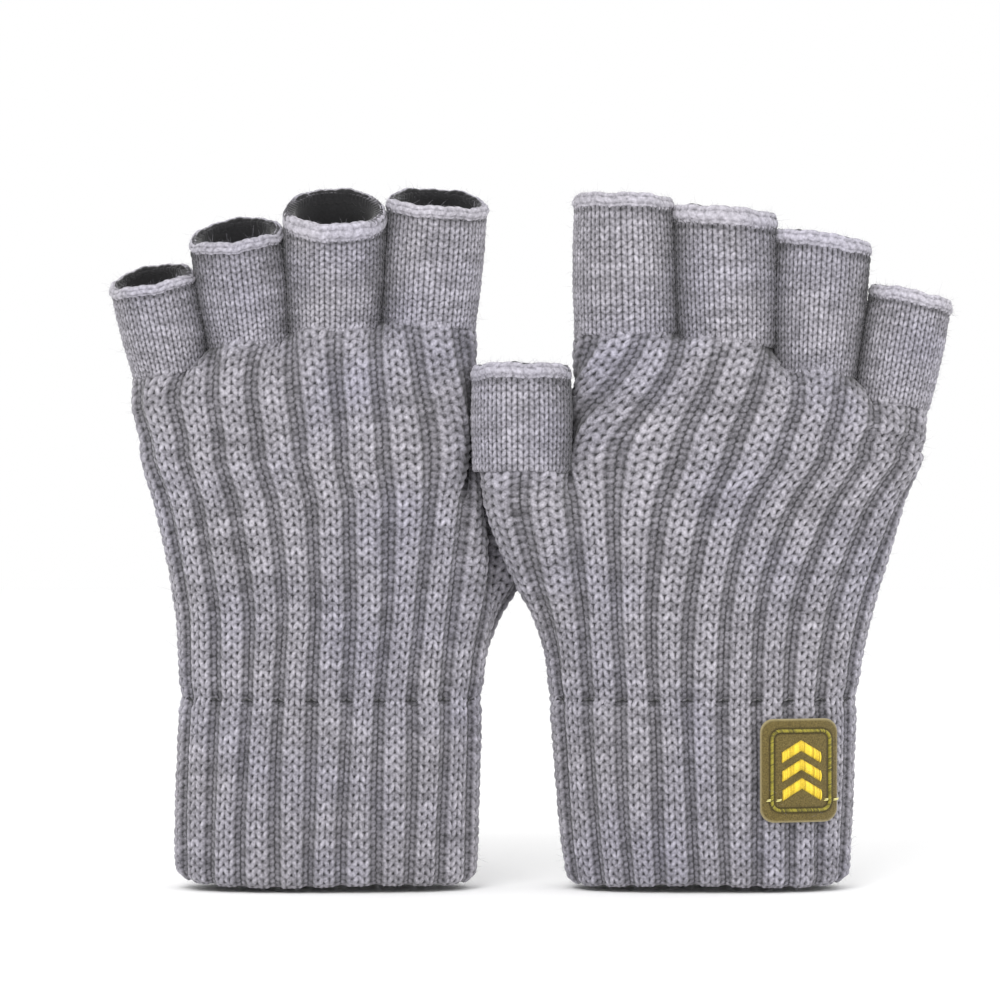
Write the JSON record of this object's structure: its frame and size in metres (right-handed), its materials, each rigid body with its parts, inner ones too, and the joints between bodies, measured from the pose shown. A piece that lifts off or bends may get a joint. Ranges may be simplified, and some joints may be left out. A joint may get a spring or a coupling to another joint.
{
  "type": "fingerless gloves",
  "caption": "Pair of grey ribbed-knit fingerless gloves with turned cuffs, plain finger stubs and a small olive cuff patch.",
  "frame": {"origin": "bottom centre of the pair's box, on the surface that the hems stand on", "axes": "+X across the pair, towards the glove with the patch; +Y from the backs of the hands to the palms; +Z from the hems to the fingers"},
  "size_m": [0.2393, 0.0505, 0.1989],
  "materials": {
    "knit": "matte",
    "knit_edge": "matte",
    "knit_lining": "matte",
    "elastic": "matte",
    "felt": "matte",
    "border_thread": "satin",
    "motif_thread": "satin",
    "tack_thread": "satin"
  },
  "bodies": {
    "right_glove": {"right_hand_shell": "knit", "right_cuff_outer": "knit", "right_cuff_lining": "knit_lining", "right_wrist_elastic": "elastic", "patch_backing": "felt", "patch_border": "border_thread", "patch_chevron_lower": "motif_thread", "patch_chevron_middle": "motif_thread", "patch_chevron_upper": "motif_thread", "patch_tack_inner": "tack_thread", "patch_tack_outer": "tack_thread"},
    "left_glove": {"left_hand_shell": "knit", "left_cuff_outer": "knit", "left_cuff_lining": "knit_lining", "left_wrist_elastic": "elastic"},
    "right_index": {"right_index_tube": "knit", "right_index_rim": "knit_edge"},
    "right_middle": {"right_middle_tube": "knit", "right_middle_rim": "knit_edge"},
    "right_ring": {"right_ring_tube": "knit", "right_ring_rim": "knit_edge"},
    "right_little": {"right_little_tube": "knit", "right_little_rim": "knit_edge"},
    "right_thumb": {"right_thumb_tube": "knit", "right_thumb_rim": "knit_edge"},
    "left_index": {"left_index_tube": "knit", "left_index_rim": "knit_edge"},
    "left_middle": {"left_middle_tube": "knit", "left_middle_rim": "knit_edge"},
    "left_ring": {"left_ring_tube": "knit", "left_ring_rim": "knit_edge"},
    "left_little": {"left_little_tube": "knit", "left_little_rim": "knit_edge"},
    "left_thumb": {"left_thumb_tube": "knit", "left_thumb_rim": "knit_edge"}
  },
  "joints": [
    {"name": "left_glove_apart", "type": "slide", "parent": "right_glove", "child": "left_glove", "axis": [-1, 0, 0], "range_m": [0, 0.1]},
    {"name": "right_index_fold", "type": "hinge", "parent": "right_glove", "child": "right_index", "pos_m": [0.0267, 0.0078, 0.15952], "axis": [-0.9998, 0, -0.0175], "range_deg": [0, 45], "stiffness_Nm_per_rad": 0.02},
    {"name": "right_middle_fold", "type": "hinge", "parent": "right_glove", "child": "right_middle", "pos_m": [0.0558, 0.0078, 0.15657], "axis": [-0.9998, 0, 0.0175], "range_deg": [0, 45], "stiffness_Nm_per_rad": 0.02},
    {"name": "right_ring_fold", "type": "hinge", "parent": "right_glove", "child": "right_ring", "pos_m": [0.0809, 0.0073, 0.14755], "axis": [-0.9976, 0, 0.0698], "range_deg": [0, 45], "stiffness_Nm_per_rad": 0.02},
    {"name": "right_little_fold", "type": "hinge", "parent": "right_glove", "child": "right_little", "pos_m": [0.1033, 0.0063, 0.13951], "axis": [-0.9848, 0, 0.1736], "range_deg": [0, 45], "stiffness_Nm_per_rad": 0.02},
    {"name": "right_thumb_fold", "type": "hinge", "parent": "right_glove", "child": "right_thumb", "pos_m": [-0.003, -0.0205, 0.12043], "axis": [1, 0, 0], "range_deg": [0, 45], "stiffness_Nm_per_rad": 0.02},
    {"name": "left_index_fold", "type": "hinge", "parent": "left_glove", "child": "left_index", "pos_m": [-0.02846, 0.00777, 0.16278], "axis": [-0.9986, 0, 0.0523], "range_deg": [0, 45], "stiffness_Nm_per_rad": 0.02},
    {"name": "left_middle_fold", "type": "hinge", "parent": "left_glove", "child": "left_middle", "pos_m": [-0.0559, 0.00796, 0.161], "axis": [-1, 0, 0], "range_deg": [0, 45], "stiffness_Nm_per_rad": 0.02},
    {"name": "left_ring_fold", "type": "hinge", "parent": "left_glove", "child": "left_ring", "pos_m": [-0.08017, 0.00728, 0.15674], "axis": [-0.9962, 0, -0.0872], "range_deg": [0, 45], "stiffness_Nm_per_rad": 0.02},
    {"name": "left_little_fold", "type": "hinge", "parent": "left_glove", "child": "left_little", "pos_m": [-0.10297, 0.00629, 0.14868], "axis": [-0.9903, 0, -0.1392], "range_deg": [0, 45], "stiffness_Nm_per_rad": 0.02},
    {"name": "left_thumb_fold", "type": "hinge", "parent": "left_glove", "child": "left_thumb", "pos_m": [-0.0054, 0.0246, 0.12043], "axis": [-1, 0, 0], "range_deg": [0, 45], "stiffness_Nm_per_rad": 0.02}
  ]
}
